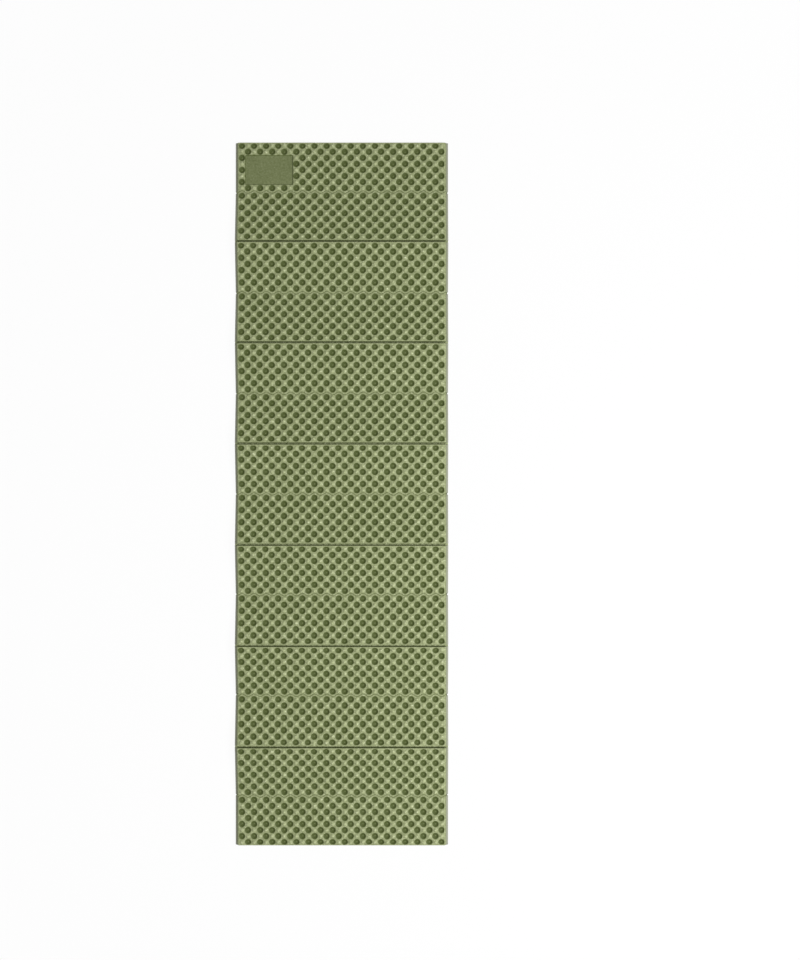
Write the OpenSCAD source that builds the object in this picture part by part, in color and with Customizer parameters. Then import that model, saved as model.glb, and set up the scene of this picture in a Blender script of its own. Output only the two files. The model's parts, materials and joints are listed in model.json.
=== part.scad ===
// Folding egg-crate sleeping pad. A formed foam sheet with a silver facing on its underside is
// divided into panels by pressed creases, and the creases fold to alternate sides.
// X runs across the pad, Y along it from the foot to the head, and Z up from the ground.

/* [Pad] */
// Number of panels along the pad
panel_count = 14; // [4:2:20]
// Width of the pad over its facing
pad_w = 560; // [400:10:700]
// Length of one panel, from crease to crease
panel_l = 132; // [110:1:180]
// Slope of the panels between the two ends while the pad lies unfolded
lay_tilt = 6; // [0:0.5:12]
// Corner radius of a panel in plan
corner_r = 4; // [1:0.5:8]

/* [Relief] */
// Height of a peak, and depth of a dimple
relief_h = 3.9; // [2:0.1:5]
// Distance from a peak to the next dimple
cell_pitch = 15.9; // [15:0.1:22]
// Radius of a dimple at its mouth
cell_r = 7.2; // [5:0.1:7.4]
// Radius of a dimple at its floor
floor_r = 3.6; // [2:0.1:4.5]
// How much smaller in radius a peak is than the dimple it nests in
nest_clear = 0.3; // [0.2:0.05:0.8]
// Least flat border beside the outer cells
rim_w = 10; // [6:0.5:20]
// Least flat land between the cells and a crease
land_w = 2.5; // [1.8:0.1:6]

/* [Layers] */
// Foam left under a dimple
foam_floor_t = 1.4; // [0.8:0.1:4]
// Facing left over a pocket
facing_floor_t = 0.7; // [0.4:0.1:3]
// Glue line between the foam and its facing
glue_gap = 0.1; // [0.05:0.05:0.2]
// How far the facing stands out beside the foam
side_lip_w = 5; // [1:0.5:8]
// How far the facing stands out at the two ends of the pad
end_lip_w = 2.5; // [1:0.5:6]
// Width of the sloped edge of the foam
bevel_w = 4; // [1:0.5:5]
// Height of the upright edge below that slope
edge_h = 1.5; // [0.5:0.1:3]

/* [Creases] */
// Thickness of the pressed web in a crease
web_t = 1; // [0.6:0.1:2]
// Clearance between two panels folded together
fold_gap = 0.4; // [0.3:0.05:1]

/* [Bare plate] */
// First column of cells that the plate takes the place of, counted from 0 at the left
plate_col = 1; // [0:1:10]
// Number of columns under the plate
plate_cols = 8; // [2:1:12]
// First row of cells that the plate takes the place of, counted from 0 at the head
plate_row = 2; // [0:1:3]
// Number of rows under the plate
plate_rows = 5; // [2:1:5]
// Corner radius of the plate
plate_corner_r = 3; // [1:0.5:6]

/* [Hidden] */
DIMPLE = 0;
PEAK = 1;
FOAM_COLOUR = [0.47, 0.51, 0.33];
FACING_COLOUR = [0.86, 0.86, 0.87];
// How deep an added form is rooted in its slab, and how far a cut reaches past its face
root = 0.3;
$fn = 32;

// The sheet, measured from its own middle plane
sheet_t = 2 * relief_h + foam_floor_t + facing_floor_t + glue_gap;
green_z = sheet_t / 2;
silver_z = -sheet_t / 2;
facing_top_z = silver_z + relief_h + facing_floor_t;
foam_bottom_z = facing_top_z + glue_gap;
foam_w = pad_w - 2 * side_lip_w;

// A crease folds about an axis just outside the face that carries its web
axis_z = green_z + fold_gap / 2;
bead_r = web_t + fold_gap / 2;
crease_half_w = bead_r + fold_gap;

// An even number of rows makes peaks meet dimples wherever two panels fold together
cols = floor((pad_w - 2 * (rim_w + cell_r)) / cell_pitch) + 1;
rows = 2 * floor(((panel_l - 2 * (land_w + cell_r)) / cell_pitch + 1) / 2);
cell_slope = (cell_r - floor_r) / relief_h;

// The two end panels lie flat on the ground, and those between slope up and down in turn
flat_z = green_z + relief_h;
low_crease_z = flat_z + axis_z;
slope_z = low_crease_z + panel_l / 2 * sin(lay_tilt) - axis_z * cos(lay_tilt);
step_y = panel_l * cos(lay_tilt) + 2 * axis_z * sin(lay_tilt);
end_y = (panel_count / 2 - 1) * step_y + panel_l / 2;

function two_digits(k) = k < 10 ? str("0", k) : str(k);
function foam_name(k) = str("foam_", two_digits(k));
function facing_name(k) = str("facing_", two_digits(k));
function lies_flat(k) = k == 1 || k == panel_count;
function slope(k) = lies_flat(k) ? 0 : k % 2 == 1 ? lay_tilt : -lay_tilt;
function panel_y(k) = k == 1 ? end_y : k == panel_count ? -end_y : ((panel_count + 1) / 2 - k) * step_y;
function panel_z(k) = lies_flat(k) ? flat_z : slope_z;
function cell_x(i) = (i - (cols - 1) / 2) * cell_pitch;
function cell_y(j) = ((rows - 1) / 2 - j) * cell_pitch;
function under_plate(k, i, j) =
    k == 1 && i >= plate_col && i < plate_col + plate_cols && j >= plate_row && j < plate_row + plate_rows;

// Sets a panel in its place in the unfolded pad
module place(k)
    translate([0, panel_y(k), panel_z(k)])
        rotate([slope(k), 0, 0])
            children();

// Repeats a form at every peak or every dimple of a panel
module at_cells(k, kind)
    for (i = [0 : cols - 1], j = [0 : rows - 1])
        if ((i + j) % 2 == kind && !under_plate(k, i, j))
            translate([cell_x(i), cell_y(j), 0])
                children();

// A truncated cone that rises from a face at z = 0
module cell(shrink)
    translate([0, 0, -root])
        cylinder(h = relief_h + root, r1 = cell_r - shrink + root * cell_slope, r2 = floor_r - shrink);

// A plate with round corners, between two lines across the panel
module rounded_plate(w, y_low, y_high, r, h)
    linear_extrude(h)
        union() {
            translate([-w / 2 + r, y_low])
                square([w - 2 * r, y_high - y_low]);
            translate([-w / 2, y_low + r])
                square([w, y_high - y_low - 2 * r]);
            for (x = [-w / 2 + r, w / 2 - r], y = [y_low + r, y_high - r])
                translate([x, y])
                    circle(r);
        }

// A flat slab of one panel, drawn in by a lip at the free ends of the pad
module slab(k, w, lip, h) {
    y_low = -panel_l / 2 + (k == panel_count ? lip : crease_half_w);
    y_high = panel_l / 2 - (k == 1 ? lip : crease_half_w);
    rounded_plate(w, y_low, y_high, corner_r, h);
}

// Side edges of the foam slope down to a low upright edge
module foam_section() {
    h = green_z - foam_bottom_z;
    rotate([90, 0, 0])
        linear_extrude(panel_l, center = true)
            polygon([
                [-foam_w / 2, 0],
                [foam_w / 2, 0],
                [foam_w / 2, edge_h],
                [foam_w / 2 - bevel_w, h],
                [-foam_w / 2 + bevel_w, h],
                [-foam_w / 2, edge_h]
            ]);
}

// The pressed web along a panel's upper edge, with a round bead about the crease, flush with a face at z = 0
module web(w) {
    length = w - 2 * (corner_r + bevel_w);
    translate([-length / 2, panel_l / 2 - crease_half_w - root, -web_t])
        cube([length, crease_half_w + root, web_t]);
    intersection() {
        translate([0, panel_l / 2, fold_gap / 2])
            rotate([0, 90, 0])
                cylinder(r = bead_r, h = length, center = true);
        translate([-pad_w / 2, panel_l / 2 - crease_half_w, -web_t])
            cube([pad_w, 2 * crease_half_w, web_t]);
    }
}

// The bare pressed plate, as a recess in a face at z = 0
module plate_recess() {
    x_mid = cell_x(plate_col + (plate_cols - 1) / 2);
    y_high = cell_y(plate_row - 0.5);
    translate([x_mid, 0, -relief_h])
        rounded_plate(plate_cols * cell_pitch, y_high - plate_rows * cell_pitch, y_high,
            plate_corner_r, relief_h + root);
}

module foam(k)
    color(FOAM_COLOUR)
        place(k)
            difference() {
                union() {
                    translate([0, 0, foam_bottom_z])
                        intersection() {
                            slab(k, foam_w, end_lip_w, green_z - foam_bottom_z);
                            foam_section();
                        }
                    translate([0, 0, green_z])
                        at_cells(k, PEAK)
                            cell(nest_clear);
                    if (k % 2 == 0)
                        translate([0, 0, green_z])
                            web(foam_w);
                }
                translate([0, 0, green_z])
                    at_cells(k, DIMPLE)
                        mirror([0, 0, 1])
                            cell(0);
                if (k == 1)
                    translate([0, 0, green_z])
                        plate_recess();
            }

module facing(k)
    color(FACING_COLOUR)
        place(k)
            difference() {
                union() {
                    translate([0, 0, silver_z])
                        slab(k, pad_w, 0, facing_top_z - silver_z);
                    translate([0, 0, silver_z])
                        at_cells(k, DIMPLE)
                            mirror([0, 0, 1])
                                cell(nest_clear);
                    if (k % 2 == 1 && k > 1)
                        translate([0, 0, silver_z])
                            mirror([0, 0, 1])
                                web(pad_w);
                }
                translate([0, 0, silver_z])
                    at_cells(k, PEAK)
                        cell(0);
                if (k == 1)
                    translate([0, 0, silver_z])
                        mirror([0, 0, 1])
                            plate_recess();
            }

for (k = [1 : panel_count]) {
    foam(k);
    facing(k);
}
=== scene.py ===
import json
from collections import namedtuple
from math import floor, hypot, inf, pi, radians, sin

import bmesh
import bpy
from mathutils import Matrix, Vector, noise
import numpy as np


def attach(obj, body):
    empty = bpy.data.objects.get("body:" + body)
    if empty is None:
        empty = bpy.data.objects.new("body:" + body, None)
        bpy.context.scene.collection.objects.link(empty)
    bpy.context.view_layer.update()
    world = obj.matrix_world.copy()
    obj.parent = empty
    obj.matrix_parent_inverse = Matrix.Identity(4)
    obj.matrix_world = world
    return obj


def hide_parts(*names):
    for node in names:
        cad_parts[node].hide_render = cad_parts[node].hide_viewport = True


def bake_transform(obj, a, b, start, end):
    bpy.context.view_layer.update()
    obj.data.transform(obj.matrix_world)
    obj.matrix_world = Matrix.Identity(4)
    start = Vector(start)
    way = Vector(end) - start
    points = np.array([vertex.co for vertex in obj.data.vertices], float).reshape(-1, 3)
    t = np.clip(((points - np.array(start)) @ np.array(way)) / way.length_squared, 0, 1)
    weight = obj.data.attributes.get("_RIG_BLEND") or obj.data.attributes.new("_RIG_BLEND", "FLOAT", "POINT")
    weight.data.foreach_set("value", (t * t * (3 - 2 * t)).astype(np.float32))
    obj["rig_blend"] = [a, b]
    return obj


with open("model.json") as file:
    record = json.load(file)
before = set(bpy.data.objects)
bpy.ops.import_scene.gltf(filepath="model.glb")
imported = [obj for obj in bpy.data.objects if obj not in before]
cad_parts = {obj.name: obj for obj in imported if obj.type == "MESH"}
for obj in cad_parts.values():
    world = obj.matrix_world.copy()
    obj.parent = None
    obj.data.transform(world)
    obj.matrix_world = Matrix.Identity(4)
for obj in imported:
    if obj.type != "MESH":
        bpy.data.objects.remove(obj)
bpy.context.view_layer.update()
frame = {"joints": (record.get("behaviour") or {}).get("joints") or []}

# Foam panels. The pad's green layer is closed-cell foam, formed hot between studded plates into peaks and
# dimples. Its side edges are pressed to a slope, a bare plate takes the place of some studs on the first
# panel, and the film of the underside lines the creases that open below.
MM = 0.001
PANEL_COUNT = 14
PANEL_L = 132 * MM
LAY_TILT = radians(6)
AXIS_Z = 5.2 * MM  # from a panel's middle plane to the axis of a crease
JOINTS = sorted(frame["joints"], key=lambda joint: joint["name"])
CREASE_AXES = [Vector(joint["pos_m"]) for joint in JOINTS]


def lay(k):
    """Where panel k lies in the unfolded pad: flat at both ends, sloping up and down in turn between."""
    if k == 1:
        return Matrix.Translation(CREASE_AXES[0] + Vector((0, PANEL_L / 2, -AXIS_Z)))
    if k == PANEL_COUNT:
        return Matrix.Translation(CREASE_AXES[-1] + Vector((0, -PANEL_L / 2, -AXIS_Z)))
    middle = (CREASE_AXES[k - 2] + CREASE_AXES[k - 1]) / 2
    return Matrix.Translation(middle) @ Matrix.Rotation(LAY_TILT if k % 2 else -LAY_TILT, 4, "X")


def smooth(t):
    """0 up to t = 0, 1 from t = 1, and an even curve between."""
    t = min(max(t, 0), 1)
    return t * t * (3 - 2 * t)


PITCH = 15.9 * MM  # from a peak to the next dimple
COLUMNS = 34
ROWS = 8
FORMED_HALF_W = COLUMNS / 2 * PITCH
FORMED_HALF_L = ROWS / 2 * PITCH
LAST_COLUMN_X = FORMED_HALF_W - PITCH / 2
LAST_ROW_Y = FORMED_HALF_L - PITCH / 2
DIMPLE = 0
PEAK = 1


def from_stud(x, y, kind, squeeze):
    """Distance to the nearest dimple or peak. The last rows' outer halves count as longer by squeeze."""
    column = min(max(floor(x / PITCH), -COLUMNS // 2), COLUMNS // 2 - 1)
    row = min(max(floor(y / PITCH), -ROWS // 2), ROWS // 2 - 1)
    across = abs(x - (column + 0.5) * PITCH)
    along = abs(y - (row + 0.5) * PITCH)
    outermost = abs(y) > LAST_ROW_Y
    if outermost:
        along *= squeeze
    if (column + row) % 2 == kind:
        return hypot(across, along)
    beside = inf if abs(x) > LAST_COLUMN_X else hypot(PITCH - across, along)
    beyond = inf if outermost else hypot(across, PITCH - along)
    return min(beside, beyond)


RELIEF = 3.9 * MM
# pip_tone sets the painted light on each pip: below 1 the foam's pip is painted lighter than its dimple, and
# the film's pip is painted as a shaded pit.
Studs = namedtuple("Studs", "dimple_r peak_r slope_w peak_h pip_h pip_tone")
GREEN_STUDS = Studs(
    dimple_r=9.5 * MM, peak_r=6.5 * MM, slope_w=5.8 * MM, peak_h=3.6 * MM, pip_h=0.5 * MM, pip_tone=0.7)
PIP_R = 2.9 * MM  # the pip that each stud leaves in the floor of its dimple
# A dimple's darker tone is painted shade.
DARK_MARGIN = 0.9 * MM  # how far round a dimple its darker tone begins
DARK_W = 3 * MM
# A peak's tone is a painted highlight and a dimple's tone is painted shade.
OPEN_FOAM_TONE = 0.33  # how far the foam between the studs goes from a peak's tone to a dimple's


def formed(x, y, squeeze, studs):
    """Height of the formed sheet over its middle level, and its painted light from 0 to 1. On the foam 1 is
    painted shade in a dimple and 0 a painted highlight on a peak; on the film the same number paints the
    domes light and the hollows between them shaded.
    """
    to_dimple = from_stud(x, y, DIMPLE, squeeze)
    dimple = smooth((studs.dimple_r - to_dimple) / studs.slope_w)
    peak = smooth((studs.peak_r - from_stud(x, y, PEAK, squeeze)) / studs.slope_w)
    pip = smooth((PIP_R - to_dimple) / PIP_R)
    dark = smooth((studs.dimple_r + DARK_MARGIN - to_dimple) / DARK_W) * (1 - pip + studs.pip_tone * pip)
    return studs.peak_h * peak - RELIEF * dimple + studs.pip_h * pip, max(dark, OPEN_FOAM_TONE * (1 - peak))


STRAY = 0.6 * MM  # how far foam that is formed by heat strays from its studs
STRAY_SIZE = 23 * MM
PANEL_SHIFT = 3.1  # gives each panel its own part of the noise
SLACK = 0.2  # the share of their height that some peaks lack


def lump(x, y, k):
    """Even noise from -1 to 1 over panel k."""
    return noise.noise(Vector((x / STRAY_SIZE, y / STRAY_SIZE, PANEL_SHIFT * k)))


GROOVE_SWAY = 3.2 * MM
GROOVE_HALF_W = 1.7 * MM
GROOVE_DEPTH = 1.2 * MM
# Painted shade along the groove's line.
GROOVE_SHADE = 1


def groove(x, from_crease):
    """1 in the middle of the pressed line that winds past the dimples on both sides of a crease, 0 off it."""
    return 1 - smooth(abs(from_crease + GROOVE_SWAY * sin(pi * x / PITCH)) / GROOVE_HALF_W)


PLATE_MIDDLE = Vector((-12 * PITCH, -0.5 * PITCH))
PLATE_HALF = Vector((4 * PITCH, 2.5 * PITCH))
PLATE_CORNER = 3 * MM
PLATE_WALL = PITCH / 6
PLATE_DEPTH = 3.6 * MM
PLATE_TONE = 0.73


def plate_share(x, y):
    """1 on the bare plate of the first panel, 0 off it."""
    across = abs(x - PLATE_MIDDLE.x) - PLATE_HALF.x + PLATE_CORNER
    along = abs(y - PLATE_MIDDLE.y) - PLATE_HALF.y + PLATE_CORNER
    outside = hypot(max(across, 0), max(along, 0)) + min(max(across, along), 0) - PLATE_CORNER
    return smooth(-outside / PLATE_WALL)


WEB_HALF_W = 1.6 * MM
SLAB_HALF_L = PANEL_L / 2 - WEB_HALF_W
LAND_SQUEEZE = 1.35  # the last row is pressed shorter towards an open crease or an end
ROW_GATHER = 1.6
CORNER = 0.7 * MM


def formed_grid(k, cells, level, inward, studs, stray, head_fold, foot_fold):
    """One formed face of panel k about its own middle, as a new bmesh that stores its painted light, with the
    plate's own tone and its painted wall shade on the first panel.
    """
    bm = bmesh.new()
    pressed = bm.verts.layers.float.new("pressed")
    bmesh.ops.create_grid(bm, x_segments=COLUMNS * cells, y_segments=ROWS * cells, size=1)
    bmesh.ops.scale(bm, vec=(FORMED_HALF_W, FORMED_HALF_L, 1), verts=bm.verts)
    for v in bm.verts:
        end = 1 if v.co.y > 0 else -1
        folds = head_fold if end > 0 else foot_fold
        half_l = SLAB_HALF_L if folds else FORMED_HALF_L
        if folds and abs(v.co.y) > LAST_ROW_Y:
            left = (FORMED_HALF_L - abs(v.co.y)) / (FORMED_HALF_L - LAST_ROW_Y)
            v.co.y = end * (SLAB_HALF_L - (SLAB_HALF_L - LAST_ROW_Y) * max(left, 0) ** ROW_GATHER)
        x, y = v.co.x + stray * lump(v.co.x, v.co.y, k), v.co.y + stray * lump(v.co.x, v.co.y, -k)
        height, tone = formed(x, y, 1 if folds else LAND_SQUEEZE, studs)
        if stray and height > 0:
            height *= 1 - SLACK * smooth(0.5 + lump(y, x, k))
        if folds:
            line = groove(v.co.x, v.co.y - end * PANEL_L / 2)
            height += inward * GROOVE_DEPTH * line
            tone = max(tone, GROOVE_SHADE * line)
        if k == 1:
            bare = plate_share(v.co.x, v.co.y)
            height += (inward * PLATE_DEPTH - height) * bare
            tone += (PLATE_TONE - tone) * bare
            # Painted shade along the plate's wall, strongest halfway down it.
            rim = 4 * bare * (1 - bare)  # 1 halfway down the plate's wall
            tone += (1 - tone) * rim
        v[pressed] = tone
        v.co.z = level + height
        across = abs(v.co.x) - FORMED_HALF_W + CORNER
        along = abs(v.co.y) - half_l + CORNER
        if across > 0 and along > 0:
            pull = 1 - max(across, along) / hypot(across, along)
            v.co.x -= across * pull * (1 if v.co.x > 0 else -1)
            v.co.y -= along * pull * end
    return bm


def outward(x, y, half_l):
    """Direction away from a panel on its outline, turning round the corners."""
    across = max(abs(x) - FORMED_HALF_W + CORNER, 0)
    along = max(abs(y) - half_l + CORNER, 0)
    most = max(across, along, 1e-9)
    return Vector((across / most * (1 if x > 0 else -1), along / most * (1 if y > 0 else -1)))


def edge_walls(bm, side, head, foot, base):
    """Carries a face's outline over its edges and closes it at base.

    The steps for the sides, the head and the foot are (mm outward, mm up, painted light and tone).
    """
    pressed = bm.verts.layers.float["pressed"]
    head_l = max(v.co.y for v in bm.verts)
    foot_l = -min(v.co.y for v in bm.verts)
    rim = [e for e in bm.edges if e.is_boundary]
    for side_step, head_step, foot_step in zip(side, head, foot):
        grown = bmesh.ops.extrude_edge_only(bm, edges=rim)["geom"]
        rim = [e for e in grown if isinstance(e, bmesh.types.BMEdge) and e.is_boundary]
        for v in {v for e in rim for v in e.verts}:
            end_step = head_step if v.co.y > 0 else foot_step
            away = outward(v.co.x, v.co.y, head_l if v.co.y > 0 else foot_l)
            by_side = away.x ** 2 / max(away.length_squared, 1)
            v.co.x += away.x * side_step[0] * MM
            v.co.y += away.y * end_step[0] * MM
            v.co.z += (by_side * side_step[1] + (1 - by_side) * end_step[1]) * MM
            v[pressed] = by_side * side_step[2] + (1 - by_side) * end_step[2]
    for v in {v for e in rim for v in e.verts}:
        v.co.z = base
    for f in bm.faces:
        f.smooth = True
    for e in rim:
        e.smooth = False
    bmesh.ops.contextual_create(bm, geom=rim)
    bmesh.ops.recalc_face_normals(bm, faces=bm.faces)


def finished_piece(name, bm, finishes):
    """The named object of a modelled mesh, with its place in the mesh."""
    mesh = bpy.data.meshes.new(name)
    bm.to_mesh(mesh)
    bm.free()
    for finish in finishes:
        mesh.materials.append(finish)
    piece = bpy.data.objects.new(name, mesh)
    bpy.context.scene.collection.objects.link(piece)
    return piece


class Tone:
    """A socket of a finish's nodes, on which sums and products add Math nodes."""

    def __init__(self, socket):
        self.socket = socket

    def node(self, kind, inputs, settings=None, output=0):
        tree = self.socket.id_data
        made = tree.nodes.new("ShaderNode" + kind)
        for name, value in (settings or {}).items():
            setattr(made, name, value)
        for name, value in inputs.items():
            if isinstance(value, Tone):
                tree.links.new(value.socket, made.inputs[name])
            else:
                made.inputs[name].default_value = value
        return Tone(made.outputs[output])

    def maths(self, operation, first, second):
        return self.node("Math", {0: first, 1: second}, {"operation": operation})

    def __add__(self, other):
        return self.maths("ADD", self, other)

    __radd__ = __add__

    def __sub__(self, other):
        return self.maths("SUBTRACT", self, other)

    def __rsub__(self, other):
        return self.maths("SUBTRACT", other, self)

    def __mul__(self, other):
        return self.maths("MULTIPLY", self, other)

    __rmul__ = __mul__

    def noise(self, size, detail):
        """Even noise from 0 to 1, on coordinates in metres, whose spots are about size across."""
        return self.node("TexNoise", {"Vector": self, "Scale": 1 / size, "Detail": detail})

    def mix(self, first, second):
        """Colour from first to second as this goes from 0 to 1."""
        return self.node("Mix", {0: self, 6: first, 7: second}, {"data_type": "RGBA"}, 2)


def new_finish(name):
    """A material with its shader node and its object coordinates."""
    finish = bpy.data.materials.new(name)
    finish.use_nodes = True
    place = finish.node_tree.nodes.new("ShaderNodeTexCoord").outputs["Object"]
    return finish, finish.node_tree.nodes["Principled BSDF"], Tone(place)


def feed(shader, inputs):
    """Links what changes over the surface, and sets what doesn't."""
    for name, value in inputs.items():
        if isinstance(value, Tone):
            shader.id_data.links.new(value.socket, shader.inputs[name])
        else:
            shader.inputs[name].default_value = value


# The foam runs from a painted highlight on the peaks to painted shade in the dimples; GLINT_GREEN paints
# small highlights.
LIT_PEAK_GREEN = (0.424, 0.470, 0.246, 1)
SHADED_DIMPLE_GREEN = (0.070, 0.093, 0.017, 1)
GLINT_GREEN = (0.66, 0.70, 0.45, 1)

foam_finish, foam_shader, place = new_finish("olive_foam")
# This attribute paints shade in the dimples, grooves and wall feet and highlights on the peaks; on the plate
# it gives the plate's own tone.
pressed = place.node("Attribute", {}, {"attribute_name": "pressed"}, "Fac")
mottle = place.noise(35 * MM, 3)
grain = place.noise(0.9 * MM, 3)
blotch = place.noise(5 * MM, 2)
glint = place.noise(4 * MM, 1)
unshaded_share = 1 - pressed
foam_tone = pressed + 0.16 * (mottle - 0.5) + 0.2 * (grain - 0.5) + 1.5 * unshaded_share * (blotch - 0.47)
glint_share = 6 * unshaded_share * unshaded_share * (glint - 0.56)
grain_bump = grain.node("Bump", {"Strength": 0.35, "Distance": 0.2 * MM, "Height": grain})
feed(foam_shader, {
    "Base Color": glint_share.mix(foam_tone.mix(LIT_PEAK_GREEN, SHADED_DIMPLE_GREEN), GLINT_GREEN),
    "Roughness": 0.44 + 0.24 * pressed + 0.16 * (grain - 0.5),
    "Normal": grain_bump,
    "Specular IOR Level": 0.36,
})

# The film is painted silver on its domes and painted shade grey in the hollows between them and in their
# pits.
FILM_SILVER = (0.74, 0.74, 0.745, 1)
SHADED_FILM_GREY = (0.40, 0.40, 0.405, 1)

facing_finish, facing_shader, place = new_finish("aluminised_film")
# The same attribute paints the film's domes light and the hollows and pits between them shaded.
pressed = place.node("Attribute", {}, {"attribute_name": "pressed"}, "Fac")
crinkle = place.noise(2.2 * MM, 4)
cloud = place.noise(30 * MM, 2)
crinkle_bump = crinkle.node("Bump", {"Strength": 0.4, "Distance": 0.25 * MM, "Height": crinkle})
feed(facing_shader, {
    "Base Color": (0.85 * pressed + 0.3 * (cloud - 0.5)).mix(SHADED_FILM_GREY, FILM_SILVER),
    "Metallic": 0.6,
    "Roughness": 0.44 + 0.2 * (crinkle - 0.5),
    "Normal": crinkle_bump,
})

FOAM_CELLS = 12  # mesh cells from one stud to the next
GREEN_Z = 5 * MM
FOAM_BASE_Z = -0.3 * MM
# The third number of each step is painted light and tone: its high values paint shade at the foot of the
# sloped sides and ends and on the walls of open creases.
SLOPED_SIDE = [(0.5, -0.1, 0.2), (1.4, -1, 0.25), (1.6, -1.5, 0.6), (1.2, -1.3, 1), (0, -1, 1)]
OPEN_EDGE = [(0.2, -0.1, 0.35), (0.3, -0.3, 0.55), (0.2, -0.5, 0.65), (0.1, -0.7, 0.7), (0, -1, 0.7)]
FOLD_EDGE = [(0, -0.3, 0.5), (0, -0.6, 0.5), (0, -0.6, 0.5), (0, -0.8, 0.5), (0, -1, 0.5)]
END_EDGE = [(0.1, -0.3, 0.3), (0.1, -0.9, 0.4), (0.1, -1.3, 0.5), (0.1, -1.2, 0.7), (0, -1, 1)]
WALL_MARGIN = 0.15 * MM  # how near to a panel's end a face belongs to the wall of its crease


def folds_green(crease):
    """Odd creases bend at the green face and open on the silver one; even creases do the reverse."""
    return crease % 2 == 1


for k in range(1, PANEL_COUNT + 1):
    head_fold = k > 1 and folds_green(k - 1)
    foot_fold = k < PANEL_COUNT and folds_green(k)
    foam = formed_grid(k, FOAM_CELLS, GREEN_Z, -1, GREEN_STUDS, STRAY, head_fold, foot_fold)
    edge_walls(foam, SLOPED_SIDE,
               END_EDGE if k == 1 else FOLD_EDGE if head_fold else OPEN_EDGE,
               END_EDGE if k == PANEL_COUNT else FOLD_EDGE if foot_fold else OPEN_EDGE, FOAM_BASE_Z)
    for f in foam.faces:
        y = f.calc_center_median().y
        if abs(y) > SLAB_HALF_L - WALL_MARGIN and (head_fold if y > 0 else foot_fold):
            f.material_index = 1
    bmesh.ops.transform(foam, matrix=lay(k), verts=foam.verts)
    panel = finished_piece(f"foam_panel_{k:02d}", foam, [foam_finish, facing_finish])
    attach(panel, f"panel_{k:02d}")
    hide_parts(f"foam_{k:02d}")

# Facing panels. The underside is a satin aluminised film, bonded to the formed lower skin of the foam
# and pressed with it over the same studs. Its edge stands out round the green layer as a thin lip,
# where film and foam are pressed together and cut.
LIP_GREY = (0.335, 0.345, 0.265, 1)
LIP_OLIVE = (0.25, 0.262, 0.175, 1)

lip_finish, lip_shader, place = new_finish("pressed_lip")
cut_grain = place.noise(1.6 * MM, 3)
streak = place.noise(24 * MM, 2)
cut_bump = cut_grain.node("Bump", {"Strength": 0.4, "Distance": 0.2 * MM, "Height": cut_grain})
feed(lip_shader, {
    "Base Color": (0.5 * streak + 0.5 * cut_grain).mix(LIP_GREY, LIP_OLIVE),
    "Roughness": 0.5 + 0.2 * (cut_grain - 0.5),
    "Normal": cut_bump,
})

FILM_CELLS = 8
SILVER_Z = -5 * MM
SILVER_STUDS = Studs(
    dimple_r=7.7 * MM, peak_r=8.2 * MM, slope_w=5.4 * MM, peak_h=RELIEF, pip_h=1.4 * MM, pip_tone=0.1)
FACING_TOP_Z = -0.4 * MM
LIP_SIDE = [
    (7.6, 0, 0.5), (1.5, 0.3, 0.5), (0.6, 0.8, 0.5), (-2.2, 1.5, 0.5), (-2.2, 1.4, 0.5), (-1.6, 0.6, 0.5)]
LIP_END = [
    (1.2, 0, 0.5), (0.8, 0.3, 0.5), (0.4, 0.8, 0.5), (-0.6, 1.5, 0.5), (-0.8, 1.4, 0.5), (-0.6, 0.6, 0.5)]
OPEN_FILM_EDGE = [
    (1.4, 0.1, 0.5), (0.3, 0.4, 0.5), (0.2, 0.8, 0.5), (0, 1, 0.5), (0, 1, 0.5), (0, 0.6, 0.5)]
FOLD_FILM_EDGE = [
    (0, 0.3, 0.5), (0, 0.8, 0.8), (0, 0.8, 0.8), (0, 0.8, 0.8), (0, 0.8, 0.8), (0, 1, 0.8)]
LIP_INNER_X = 273 * MM
LIP_TOP_NORMAL = 0.2  # a face of the lip's top looks up at least this much

for k in range(1, PANEL_COUNT + 1):
    head_fold = k > 1 and not folds_green(k - 1)
    foot_fold = k < PANEL_COUNT and not folds_green(k)
    facing = formed_grid(k, FILM_CELLS, SILVER_Z, 1, SILVER_STUDS, 0, head_fold, foot_fold)
    edge_walls(facing, LIP_SIDE,
               LIP_END if k == 1 else FOLD_FILM_EDGE if head_fold else OPEN_FILM_EDGE,
               LIP_END if k == PANEL_COUNT else FOLD_FILM_EDGE if foot_fold else OPEN_FILM_EDGE, FACING_TOP_Z)
    for f in facing.faces:
        middle = f.calc_center_median()
        at_end = middle.y > 0 and k == 1 or middle.y < 0 and k == PANEL_COUNT
        if f.normal.z > LIP_TOP_NORMAL and (abs(middle.x) > LIP_INNER_X or at_end):
            f.material_index = 2
        elif abs(middle.y) > SLAB_HALF_L - WALL_MARGIN and (head_fold if middle.y > 0 else foot_fold):
            f.material_index = 1
    bmesh.ops.transform(facing, matrix=lay(k), verts=facing.verts)
    panel = finished_piece(f"facing_panel_{k:02d}", facing, [facing_finish, foam_finish, lip_finish])
    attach(panel, f"panel_{k:02d}")
    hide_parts(f"facing_{k:02d}")

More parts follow.
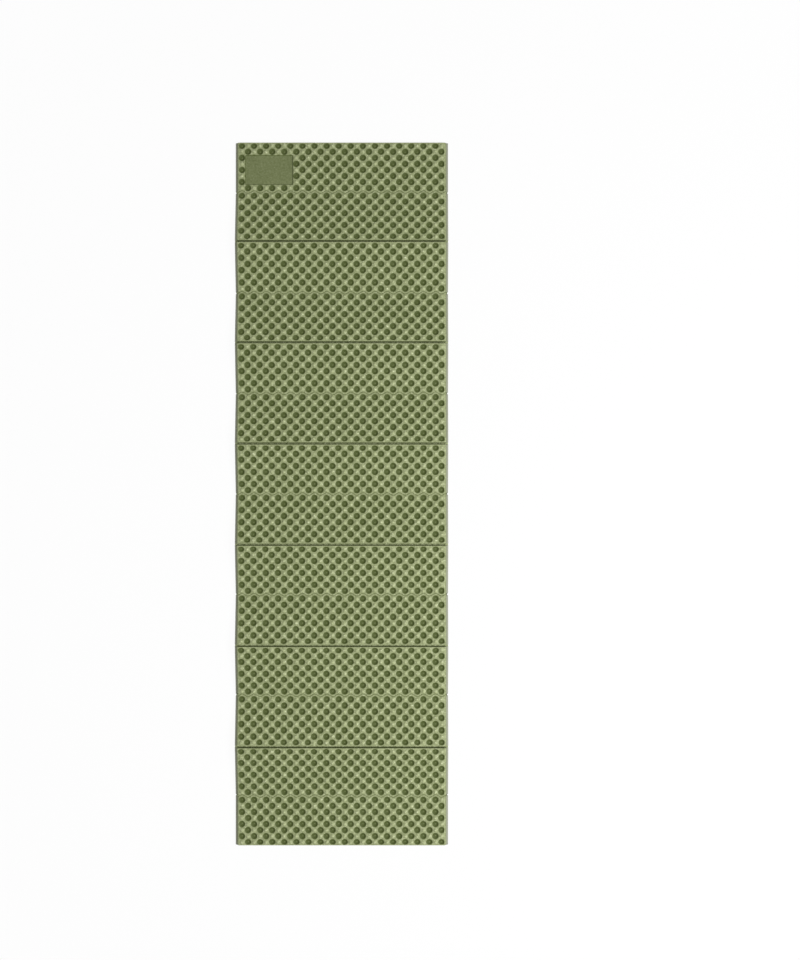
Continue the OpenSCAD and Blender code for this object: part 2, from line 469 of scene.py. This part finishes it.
# Crease webs. Where the press closes the sheet, a thin web of foam and film is left at one face, and
# the panels fold on it. A pressed line winds along it, round the cells on either side.
WEB_COLUMNS = COLUMNS * 8
WEB_ROWS = 8
WEB_OVERLAP = 0.3 * MM
WEB_TUCK = 0.08 * MM  # keeps the web's margin just under the panels that it joins
WEB_T = 0.9 * MM
FOAM_WEB_HALF_L = 277.4 * MM
FILM_WEB_HALF_L = 279.4 * MM
SIDE_PROFILE = [(270.3, 0), (270.8, 0.1), (272.2, 1.1), (273.8, 2.6), (275, 3.9), (277.4, 4.9)]
LIP_X = 275 * MM
LIP_TONE = 0.7
FILM_NORMAL = -0.5  # a face of the film looks down at least this much
PINCH = 0.2  # the share of the drop that the web's middle follows, so that its ends stay small in a fold


def side_drop(x):
    """How far the sloped side of the foam, and the lip past it, lie under the green face."""
    for (near, near_drop), (far, far_drop) in zip(SIDE_PROFILE, SIDE_PROFILE[1:]):
        if abs(x) < far * MM:
            share = max(abs(x) / MM - near, 0) / (far - near)
            return (near_drop + (far_drop - near_drop) * share) * MM
    return SIDE_PROFILE[-1][1] * MM


def on_web(head_side, foot_side, x, y, z):
    """A point of the web, y from the crease, carried over from the head panel to the foot panel."""
    share = smooth((WEB_HALF_W - y) / (2 * WEB_HALF_W))
    on_head = head_side @ Vector((x, y - PANEL_L / 2, z))
    on_foot = foot_side @ Vector((x, y + PANEL_L / 2, z))
    return on_head.lerp(on_foot, share)


for crease in range(1, PANEL_COUNT):
    green = folds_green(crease)
    level = GREEN_Z if green else SILVER_Z
    inward = -1 if green else 1
    studs = GREEN_STUDS if green else SILVER_STUDS
    head_side, foot_side = lay(crease), lay(crease + 1)
    web = bmesh.new()
    web_pressed = web.verts.layers.float.new("pressed")
    bmesh.ops.create_grid(web, x_segments=WEB_COLUMNS, y_segments=WEB_ROWS, size=1)
    half_l = FOAM_WEB_HALF_L if green else FILM_WEB_HALF_L
    bmesh.ops.scale(web, vec=(half_l, WEB_HALF_W + WEB_OVERLAP, 1), verts=web.verts)
    for v in web.verts:
        line = groove(v.co.x, v.co.y)
        tuck = WEB_TUCK if abs(v.co.y) > WEB_HALF_W else 0
        to_panel = -PANEL_L / 2 if v.co.y > 0 else PANEL_L / 2
        height, tone = formed(v.co.x, v.co.y + to_panel, 1, studs)
        v[web_pressed] = max(tone, GROOVE_SHADE * line)
        v.co.z = level + height + inward * (GROOVE_DEPTH * line + tuck)
        if green:
            from_middle = smooth(abs(v.co.y) / WEB_HALF_W)
            v.co.z -= side_drop(v.co.x) * (PINCH + (1 - PINCH) * from_middle)
            if abs(v.co.x) > LIP_X:
                v[web_pressed] = LIP_TONE
    inner = bmesh.ops.extrude_face_region(web, geom=web.faces[:], use_keep_orig=True)["geom"]
    inner_verts = [v for v in inner if isinstance(v, bmesh.types.BMVert)]
    bmesh.ops.translate(web, vec=(0, 0, inward * WEB_T), verts=inner_verts)
    bmesh.ops.recalc_face_normals(web, faces=web.faces)
    for f in web.faces:
        f.smooth = True
        f.material_index = 1 if f.normal.z < FILM_NORMAL else 0
    for v in web.verts:
        v.co = on_web(head_side, foot_side, *v.co)
    strip = finished_piece(f"crease_web_{crease:02d}", web, [foam_finish, facing_finish])
    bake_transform(strip, f"panel_{crease:02d}", f"panel_{crease + 1:02d}",
             start=on_web(head_side, foot_side, 0, WEB_HALF_W, level),
             end=on_web(head_side, foot_side, 0, -WEB_HALF_W, level))

# Studio. A white floor with soft light from all round and one lamp at the right, seen straight from above.
# The pad is held by a panel in its middle, so some panels fold below the floor, which lets them show.
FLOOR_SIZE = 30
FLOOR_Z = -0.2 * MM
FLOOR_WHITE = (0.9, 0.9, 0.9, 1)
WHITE = (1, 1, 1, 1)
FLOOR_CLEAR = 0.94  # how clear the floor is near the pad; the rest takes the shadow
CLEAR_START = 1.3
CLEAR_END = 3


def seen_by(start):
    """1 for what the camera sees, also in metal and through glass, and 0 for the light on the object."""
    rays = start.node("LightPath", {}).socket.node.outputs
    camera_ray, glossy_ray, through_ray = (
        Tone(rays[f"Is {kind} Ray"]) for kind in ("Camera", "Glossy", "Transmission"))
    return start.maths("MAXIMUM", start.maths("MAXIMUM", camera_ray, glossy_ray), through_ray)


floor_mesh = bmesh.new()
bmesh.ops.create_grid(floor_mesh, x_segments=1, y_segments=1, size=FLOOR_SIZE / 2)
bmesh.ops.translate(floor_mesh, vec=(0, 0, FLOOR_Z), verts=floor_mesh.verts)
floor_finish, floor_shader, place = new_finish("white_floor")
ground = finished_piece("floor", floor_mesh, [floor_finish])
feed(floor_shader, {"Base Color": FLOOR_WHITE, "Roughness": 1.0, "Specular IOR Level": 0.0})
ground.visible_diffuse = False
ground.visible_shadow = False
from_pad = place.node("VectorMath", {0: place}, {"operation": "LENGTH"}, "Value")
clear_share = from_pad.node("MapRange", {
    "Value": from_pad, "From Min": CLEAR_START, "From Max": CLEAR_END, "To Min": FLOOR_CLEAR, "To Max": 1.0})
clear = place.node("BsdfTransparent", {"Color": WHITE})
floor_mix = place.node("MixShader", {
    0: clear_share * seen_by(place), 1: Tone(floor_shader.outputs[0]), 2: clear})
floor_out = floor_finish.node_tree.nodes["Material Output"]
floor_finish.node_tree.links.new(floor_mix.socket, floor_out.inputs["Surface"])

SKY_LIGHT = 0.5
world = bpy.data.worlds.new("soft_white")
bpy.context.scene.world = world
world.use_nodes = True
sky = world.node_tree.nodes["Background"]
sky.inputs["Color"].default_value = WHITE
sky_strength = SKY_LIGHT + (1 - SKY_LIGHT) * seen_by(Tone(sky.outputs[0]))
world.node_tree.links.new(sky_strength.socket, sky.inputs["Strength"])

LAMP_AT = Vector((2.3, -0.8, 2.4))
LAMP_AIM = Vector((0, -0.2, 0))
LAMP_W = 82
LAMP_SIZE = 1
lamp_data = bpy.data.lights.new("right_lamp", "AREA")
lamp_data.energy = LAMP_W
lamp_data.size = LAMP_SIZE
lamp = bpy.data.objects.new("right_lamp", lamp_data)
lamp.location = LAMP_AT
lamp.rotation_euler = (LAMP_AIM - LAMP_AT).to_track_quat("-Z", "Y").to_euler()
bpy.context.scene.collection.objects.link(lamp)

CAMERA_H = 2.3
IMAGE_H = 960
PIXEL_AT_PAD = 2.622 * MM  # what one pixel of the picture's height takes in at the pad
PAD_IN_IMAGE = Vector((341.5, 494)) - Vector((400, 480))  # pixels from the picture's middle
PAD_MIDDLE_Z = 0.02
SENSOR_MM = 36
camera_data = bpy.data.cameras.new("above")
camera_data.sensor_width = SENSOR_MM
camera_data.lens = SENSOR_MM * (CAMERA_H - PAD_MIDDLE_Z) / (IMAGE_H * PIXEL_AT_PAD)
camera = bpy.data.objects.new("above", camera_data)
camera.location = (-PAD_IN_IMAGE.x * PIXEL_AT_PAD, PAD_IN_IMAGE.y * PIXEL_AT_PAD, CAMERA_H)
bpy.context.scene.collection.objects.link(camera)
bpy.context.scene.camera = camera
bpy.context.scene.view_settings.view_transform = "Standard"
